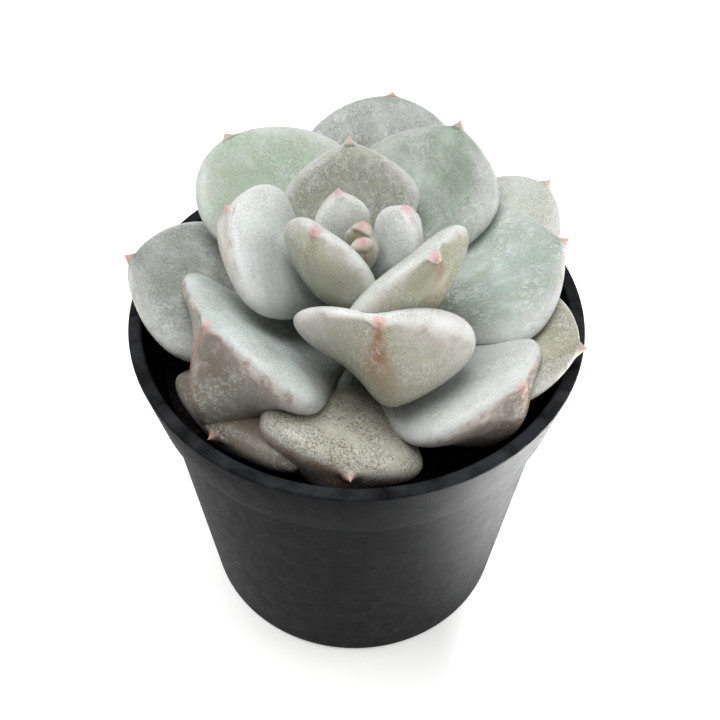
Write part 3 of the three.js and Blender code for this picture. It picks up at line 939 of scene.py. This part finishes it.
@dataclass
class LeafMesh:
    """Grows the mesh of one leaf from a ball, and presses it where other things are."""

    leaf: Leaf
    start_radius: float
    rim: float
    sides: int = 96
    rings: int = 76
    clearance: float = 0.25
    least: float = 0.7
    softness: float = 3.5
    rounds: int = 160
    lift: np.ndarray = field(init=False)
    partner: dict[int, int] = field(init=False)

    def grow(self) -> bmesh.types.BMesh:
        """Draws a ball out along the spine and notes each vertex's place on the leaf.

        Returns:
            The mesh in millimetres, with the layers across, along, facing and to_tip.
        """
        leaf = self.leaf
        shape = bmesh.new()
        bmesh.ops.create_uvsphere(shape, u_segments=self.sides, v_segments=self.rings, radius=1.0)
        ball = np.array([vert.co for vert in shape.verts])
        points, tangents, length = leaf.spine(self.start_radius, self.rim)
        outward, sideways = leaf.axes()
        share = clamp01((1 + ball[:, 2]) / 2)
        girth = np.hypot(ball[:, 0], ball[:, 1])
        safe = np.maximum(girth, 1e-9)
        across = np.where(girth > 1e-5, -ball[:, 0] / safe, 0.0)
        above = np.where(
            girth > 1e-5,
            np.sign(ball[:, 1]) * np.sqrt(clamp01(1 - np.abs(across) ** leaf.bluntness)),
            0.0,
        )
        distance = share * length
        along = clamp01(distance / (length - leaf.tip_length))
        rounded = np.sqrt(1 - (1 - clamp01(distance / 3)) ** 2)
        half_width = leaf.width / 2 * leaf.outline(along) * rounded
        thickness = leaf.thickness * leaf.fullness(along) * rounded * (1 + leaf.skew * across)
        keel = leaf.keel * leaf.fullness(along) * rounded * ease(0.1 + 0.9 * along / THICKEST)
        to_tip = length - distance
        lengths = to_tip / leaf.tip_length
        fading = clamp01((2.6 - lengths) / 1.6)
        swell = leaf.tip_radius * lengths**1.25 * fading**2 * (3 - 2 * fading)
        reach = np.cbrt(half_width**3 + swell**3)
        blend = np.where(reach > 0, half_width / np.maximum(reach, 1e-9), 0.0)
        edge = leaf.ridge_rounding
        off_ridge = (across - leaf.lean) / (1 - leaf.lean * np.sign(across - leaf.lean))
        from_ridge = (np.hypot(off_ridge, edge) - edge) / (math.hypot(1, edge) - edge)
        below = np.maximum(0, -above)
        flank = np.where(off_ridge < 0, leaf.flank, leaf.other_flank or leaf.flank)
        height = (
            leaf.trough * half_width * ease(along / 0.5) * np.abs(across) ** 1.6
            + thickness / 2 * above
            - keel * (1 - from_ridge) ** flank * below**0.4
            + swell * above * (1 - blend)
            + leaf.hook * along**3 * blend
        )
        place = share * (len(points) - 1)
        index = np.arange(len(points))
        centre = np.stack([np.interp(place, index, points[:, i]) for i in range(3)], axis=1)
        tangent = np.stack([np.interp(place, index, tangents[:, i]) for i in range(3)], axis=1)
        upward = np.cross(tangent, sideways)
        roll = math.radians(leaf.roll)
        side = sideways * math.cos(roll) + upward * math.sin(roll)
        lift = upward * math.cos(roll) - sideways * math.sin(roll)
        centre += sideways * (leaf.bow * 4 * share * (1 - share))[:, None]
        grown = centre + side * (reach * across)[:, None] + lift * height[:, None]
        from_tip = np.linalg.norm(grown - points[-1], axis=1)
        measures = {"across": across, "along": along, "facing": above, "to_tip": from_tip}
        for name, values in measures.items():
            layer = shape.verts.layers.float.new(name)
            for vert, value in zip(shape.verts, values):
                vert[layer] = value
        own_place = np.stack([reach * across, distance, height + PLACE_SPACING * leaf.heading], axis=1)
        layer = shape.verts.layers.float_vector.new("leaf_place")
        for vert, spot, own in zip(shape.verts, grown, own_place * MM):
            vert.co = spot
            vert[layer] = own
        self.lift = lift
        self.partner = self._find_partners(ball)
        return shape

    @staticmethod
    def _find_partners(ball: np.ndarray) -> dict[int, int]:
        """For each vertex on the lower half of the ball, the one straight above it."""
        upper = KDTree(len(ball))
        for i, place in enumerate(ball):
            if place[1] > -FLAT:
                upper.insert(place, i)
        upper.balance()
        return {
            i: upper.find((place[0], abs(place[1]), place[2]))[1]
            for i, place in enumerate(ball)
            if place[1] <= -FLAT
        }

    def press(
        self, shape: bmesh.types.BMesh, others: list["Grown"], pot: NurseryPot, soil_top: float
    ) -> None:
        """Dents the leaf softly where younger leaves lie on it, and clears the pot and the soil.

        Args:
            shape: the leaf's mesh.
            others: the younger leaves, finished.
            pot: the pot.
            soil_top: height of the soil.
        """
        shape.verts.ensure_lookup_table()
        places = np.array([vert.co for vert in shape.verts])
        down = -self.lift
        need = np.zeros(len(places))
        low, high = places.min(0) - 1, places.max(0) + 1
        near = [other for other in others if np.all(other.low <= high) and np.all(other.high >= low)]
        for _ in range(2):
            for other in near:
                other.press(places, down, need, self.clearance)
        ends = np.array([(edge.verts[0].index, edge.verts[1].index) for edge in shape.edges])
        lower = np.array(list(self.partner))
        upper = np.array([self.partner[i] for i in lower])
        gap = np.einsum("ij,ij->i", places[lower] - places[upper], down[lower])
        depth = need.copy()
        edge_length = np.linalg.norm(places[ends[:, 0]] - places[ends[:, 1]], axis=1).mean()
        fading = 1 - (edge_length / (2 * self.softness)) ** 2
        for _ in range(self.rounds):
            depth = np.maximum(need, self._neighbour_mean(depth, ends) * fading)
            depth[lower] = np.maximum(depth[lower], depth[upper] - np.maximum(gap - self.least, 0))
        places += down * depth[:, None]
        for vert, place in zip(shape.verts, places):
            vert.co = self._clear_pot(Vector(place), pot, soil_top)

    @staticmethod
    def _neighbour_mean(values: np.ndarray, ends: np.ndarray) -> np.ndarray:
        """The mean of each vertex's neighbours."""
        there, here = ends.ravel(), ends[:, ::-1].ravel()
        total = np.bincount(here, weights=values[there], minlength=len(values))
        return total / np.bincount(here, minlength=len(values))

    def _clear_pot(self, point: Vector, pot: NurseryPot, soil_top: float) -> Vector:
        """Keeps a point above the soil and inside the pot's mouth, or above its rim."""
        point.z = max(point.z, soil_top + self.clearance)
        radius = math.hypot(point.x, point.y)
        if point.z < pot.height + self.clearance and radius < pot.rim_radius + 1:
            limit = pot.inner_radius(min(point.z, pot.height)) - self.clearance
            if radius > limit:
                rise = pot.height + self.clearance - point.z
                if rise < radius - limit:
                    point.z += rise
                else:
                    point.x *= limit / radius
                    point.y *= limit / radius
        return point


@dataclass
class Grown:
    """A finished leaf as an obstacle for the older ones."""

    tree: BVHTree
    low: np.ndarray
    high: np.ndarray

    @classmethod
    def of(cls, shape: bmesh.types.BMesh) -> "Grown":
        """Makes the obstacle from a mesh in millimetres."""
        coordinates = np.array([vert.co for vert in shape.verts])
        return cls(BVHTree.FromBMesh(shape), coordinates.min(0), coordinates.max(0))

    def press(self, places: np.ndarray, down: np.ndarray, need: np.ndarray, clearance: float) -> None:
        """Raises the depth that each point needs to leave this leaf.

        Args:
            places: the points.
            down: the direction in which each point gives way.
            need: the depth found so far for each point, changed in place.
            clearance: the distance to keep.
        """
        here = places + down * need[:, None]
        close = np.all(here > self.low - clearance, axis=1) & np.all(here < self.high + clearance, axis=1)
        for i in np.flatnonzero(close):
            point, way = Vector(here[i]), Vector(down[i])
            spot, normal, _, distance = self.tree.find_nearest(point)
            if (point - spot).dot(normal) < 0:
                hit = self.tree.ray_cast(point, way)[0]
                if hit is not None:
                    need[i] += (hit - point).length + clearance
            elif distance < clearance and normal.dot(way) > 0.2:
                need[i] += (clearance - distance) / normal.dot(way)


@dataclass
class Rosette:
    """All the leaves, grown from the youngest to the oldest."""

    pot: NurseryPot
    soil_top: float
    stem_radius: float = 4.2
    stem_top_radius: float = 1.6
    stem_top_lift: float = 9.0
    shoulder_lift: float = 1.5
    gap: float = 0.3
    top_radius: float = 1.0
    quick_sides: int = 64
    quick_rings: int = 52

    def start_radius(self, foot: float) -> float:
        """Where a leaf begins, just clear of the stem at that height above the rim."""
        if foot > self.stem_top_lift:
            return self.top_radius
        share = float(clamp01((foot - self.shoulder_lift) / (self.stem_top_lift - self.shoulder_lift)))
        return self.stem_radius + (self.stem_top_radius - self.stem_radius) * share + self.gap

    @staticmethod
    def leaves() -> list[Leaf]:
        """The leaves, youngest first."""
        return [
            Leaf(
                "bud_leaf_back", BUD_SKIN, Slot.BUD, heading=60, reach=1.8, tip=22.5, foot=11, rise=80,
                climb=90, width=7, thickness=3, keel=1, trough=0.1, tip_length=1.2,
            ),
            Leaf(
                "bud_leaf_front", BUD_SKIN, Slot.BUD, heading=290, reach=2.8, tip=22.3, foot=11, rise=78,
                climb=88, width=7, thickness=3, keel=1, trough=0.1, tip_length=1.2,
            ),
            Leaf(
                "core_leaf_back", CORE_SKIN, Slot.GREEN, heading=115, reach=9, tip=25, foot=9, rise=35,
                climb=82, width=11.5, thickness=5, keel=2, trough=0.1,
            ),
            Leaf(
                "core_leaf_right", LIT_CORE, Slot.GREEN, heading=24, reach=10, tip=24.5, foot=8, rise=35,
                climb=84, width=12.5, thickness=5, keel=2, trough=0.05, roll=8, hook=0.4, tip_length=1.2,
            ),
            Leaf(
                "inner_leaf_front_left", OLIVE_BACKED, Slot.GREEN, heading=227, reach=11.5, tip=30,
                foot=7, rise=35, climb=66, width=22, thickness=6, keel=1.5, trough=0.05, bow=1, hook=0.3,
                tip_length=1,
            ),
            Leaf(
                "inner_leaf_front_right", OLIVE_SHADED, Slot.GREEN, heading=313, reach=20.5, tip=30,
                foot=5.5, rise=30, climb=58, width=30, thickness=7, keel=3, trough=0.05, roll=4, bow=-0.5,
                end=0.52, hook=1.2, tip_length=1,
            ),
            Leaf(
                "middle_leaf_back", SPECKLED_GREY, Slot.GREY, heading=94.5, reach=25, tip=24, foot=3,
                rise=25, climb=60, width=27, thickness=6, keel=4, trough=0.15, point=1.6, end=0.7,
            ),
            Leaf(
                "middle_leaf_left", PALE_BLUE, Slot.GREY, heading=178, reach=24.5, tip=27, foot=2.5,
                rise=25, climb=58, width=29, thickness=7, keel=3.5, trough=0.1, roll=-6,
            ),
            Leaf(
                "middle_leaf_front", PALE_OLIVE, Slot.GREY, heading=279, reach=24.5, tip=23.3, foot=-1,
                rise=5, climb=58, width=33, thickness=10, keel=6.5, trough=0.04, roll=-14, bow=2.2,
                wide=0.7, end=0.46, flank=3.6, other_flank=1.4, lean=0.15, skew=0.3, hook=0.4,
                tip_length=1,
            ),
            Leaf(
                "outer_leaf_back_right", WORN_GREEN, Slot.GREEN, heading=60, reach=42, tip=19, foot=0,
                rise=20, climb=50, width=31.5, thickness=7, keel=4, trough=0.2, end=0.68,
            ),
            Leaf(
                "outer_leaf_right", BLUE_GREEN, Slot.GREEN, heading=14, reach=43, tip=10.5, foot=-2,
                rise=10, climb=38, width=37, thickness=7, keel=4, trough=0.2, roll=5, end=0.72,
            ),
            Leaf(
                "outer_leaf_back_left", SOFT_GREEN, Slot.GREEN, heading=130, reach=43, tip=17.5, foot=-2,
                rise=15, climb=45, width=36, thickness=7, keel=4, trough=0.2, bow=-3, end=0.5,
                tip_length=1.2,
            ),
            Leaf(
                "outer_leaf_front_left", BROWN_BACKED, Slot.GREY, heading=213, reach=33, tip=15, foot=-7,
                rise=0, climb=47, width=41, thickness=8, keel=13, trough=0.03, roll=3, wide=0.68, end=0.5,
                flank=4, other_flank=4.5, lean=0.3, skew=0.15, ridge_rounding=0.6, hook=0.6,
                tip_length=1.4,
            ),
            Leaf(
                "outer_leaf_front_right", TAN_BACKED, Slot.GREY, heading=320, reach=40, tip=8.5,
                foot=-6.5, rise=0, climb=48, width=32.5, thickness=8, keel=7, trough=0.03, bow=-2,
                wide=0.7, end=0.48, flank=2.5, lean=-0.1, ridge_rounding=0.4, hook=1, tip_length=1.4,
            ),
            Leaf(
                "outer_leaf_left", SHADED_WORN_GREY, Slot.GREY, heading=173, reach=46, tip=9, foot=-6, rise=5,
                climb=33, width=36, thickness=8, keel=7, trough=0.05,
            ),
            Leaf(
                "low_leaf_back", SHADED_WORN_GREY, Slot.GREY, heading=81.5, reach=48, tip=17.5, foot=-4, rise=15,
                climb=40, width=36, thickness=7, keel=3, trough=0.15, end=0.55, tip_length=1.2,
            ),
            Leaf(
                "low_leaf_back_right", PALE_BEIGE, Slot.GREY, heading=35, reach=48.5, tip=10.5, foot=-5,
                rise=8, climb=25, width=27, thickness=7, keel=3, trough=0.1, roll=-12, bow=-2.2,
                wide=0.76, end=0.6,
            ),
            Leaf(
                "low_leaf_right", SPECKLED_BEIGE, Slot.BEIGE, heading=343, reach=45.5, tip=4.5, foot=-7,
                rise=5, climb=12, width=32, thickness=6, keel=3, trough=0, wide=0.7,
            ),
            Leaf(
                "low_leaf_front", SPECKLED_BROWN, Slot.BEIGE, heading=269, reach=40.5, tip=-1, foot=-8,
                rise=-3, climb=12, width=31, thickness=9, keel=7, trough=0, roll=-16, bow=-2.5, wide=0.76,
                end=0.55, hook=0.5,
            ),
            Leaf(
                "low_leaf_front_left", SHADED_OLD, Slot.BEIGE, heading=228.5, reach=40.7, tip=-2.5,
                foot=-9.3, rise=-3, climb=8, width=32, thickness=8, keel=4, trough=0, wide=0.84, end=0.55,
            ),
            Leaf(
                "under_leaf_left", SHADED_BEIGE, Slot.BEIGE, heading=150, reach=36, tip=0, foot=-8.5,
                rise=0, climb=10, width=26, thickness=6, keel=2, trough=0,
            ),
            Leaf(
                "under_leaf_back", SHADED_BEIGE, Slot.BEIGE, heading=106, reach=36, tip=0, foot=-8.5,
                rise=0, climb=10, width=26, thickness=6, keel=2, trough=0,
            ),
            Leaf(
                "under_leaf_back_right", SHADED_BEIGE, Slot.BEIGE, heading=58, reach=36, tip=0, foot=-9,
                rise=0, climb=10, width=26, thickness=6, keel=2, trough=0,
            ),
        ]

    def build(self) -> list[bpy.types.Object]:
        """Grows every leaf and presses it against the younger ones.

        Returns:
            The finished pieces.
        """
        pieces, grown, coats = [], [], {}
        for leaf in self.leaves():
            if leaf.skin.name not in coats:
                coats[leaf.skin.name] = leaf.skin.build()
            maker = LeafMesh(leaf, self.start_radius(leaf.foot), self.pot.height)
            shape = maker.grow()
            maker.press(shape, grown, self.pot, self.soil_top)
            shape.normal_update()
            # As an obstacle its faces still look inwards, and the leaves' shapes are tuned to that.
            grown.append(Grown.of(shape))
            bmesh.ops.recalc_face_normals(shape, faces=shape.faces)
            skin = coats[leaf.skin.name]
            pieces.append(finish_piece(shape, f"{leaf.node}_blade", skin, (leaf.node,)))
        return pieces


# ---------------------------------------------------------------- the studio
@dataclass
class Studio:
    """Pale floor, soft light from above and a camera that looks down on the plant."""

    rim: float
    distance: float = 250.0
    elevation: float = 47.13
    roll: float = 0.71
    lens: float = 63.3
    sensor_width: float = 36.0
    shift: tuple[float, float] = (0.0044, -0.0691)
    clip_start: float = 0.01
    floor_half_side: float = 3.0
    floor_drop: float = 0.0002
    room_tint: str = "ffffff"
    room_strength: float = 0.24

    def build(self) -> None:
        """Adds the floor, the lights, the room and the camera."""
        self._floor()
        centre = Vector((0.0, 0.0, self.rim * MM))
        beside = Vector((0.13, -0.04, 0.0))
        self._light("high_softbox", (-0.25, 0.1, 1.5), centre, size=1.1, power=23.0)
        self._light("right_softbox", (0.6, 0.0, 0.35), centre, size=0.5, power=1.7)
        self._light("floor_wash", (0.15, -0.04, 0.3), beside, size=0.06, power=1.9, spread=30.0)
        self._room()
        self._camera()

    def _room(self) -> None:
        """Even pale light from all round, shown without a film curve."""
        world = bpy.data.worlds.new("pale_room")
        world.use_nodes = True
        background = world.node_tree.nodes["Background"]
        background.inputs["Color"].default_value = linear(self.room_tint)
        background.inputs["Strength"].default_value = self.room_strength
        bpy.context.scene.world = world
        bpy.context.scene.view_settings.view_transform = "Standard"

    def _floor(self) -> None:
        """A wide sheet of pale card."""
        shape = bmesh.new()
        bmesh.ops.create_grid(shape, x_segments=1, y_segments=1, size=self.floor_half_side)
        mesh = bpy.data.meshes.new("floor_card")
        shape.to_mesh(mesh)
        shape.free()
        mesh.materials.append(MattCard().build())
        floor = bpy.data.objects.new("floor_card", mesh)
        floor.location.z = -self.floor_drop
        bpy.context.scene.collection.objects.link(floor)

    @staticmethod
    def _light(
        name: str,
        place: tuple[float, float, float],
        target: Vector,
        size: float,
        power: float,
        spread: float = 180.0,
    ) -> None:
        """One square soft light.

        Args:
            name: the lamp's name.
            place: where it stands.
            target: the point that it faces.
            size: length of its side.
            power: its power in watts.
            spread: how wide its beam opens, in degrees.
        """
        data = bpy.data.lights.new(name, "AREA")
        data.shape = "SQUARE"
        data.size = size
        data.energy = power
        data.spread = math.radians(spread)
        lamp = bpy.data.objects.new(name, data)
        lamp.location = place
        lamp.rotation_euler = (Vector(place) - target).to_track_quat("Z", "Y").to_euler()
        bpy.context.scene.collection.objects.link(lamp)

    def _camera(self) -> None:
        """The camera, aimed at the middle of the pot's mouth."""
        angle = math.radians(self.elevation)
        back = Vector((0.0, -math.cos(angle), math.sin(angle)))
        aim = Vector((0.0, 0.0, self.rim))
        data = bpy.data.cameras.new("camera")
        data.sensor_width = self.sensor_width
        data.lens = self.lens
        data.shift_x, data.shift_y = self.shift
        data.clip_start = self.clip_start
        camera = bpy.data.objects.new("camera", data)
        facing = back.to_track_quat("Z", "Y").to_matrix().to_4x4()
        turn = Matrix.Rotation(math.radians(self.roll), 4, "Z")
        camera.matrix_world = Matrix.Translation((aim + back * self.distance) * MM) @ facing @ turn
        bpy.context.scene.collection.objects.link(camera)
        bpy.context.scene.camera = camera


def main() -> None:
    """Builds the pot, the soil, the stem, the leaves and the studio."""
    pot = NurseryPot()
    pot.build()
    soil = PottedSoil(pot)
    soil.build()
    Stem().build()
    Rosette(pot, soil.top).build()
    Studio(pot.height).build()


if __name__ == "__main__":
    main()
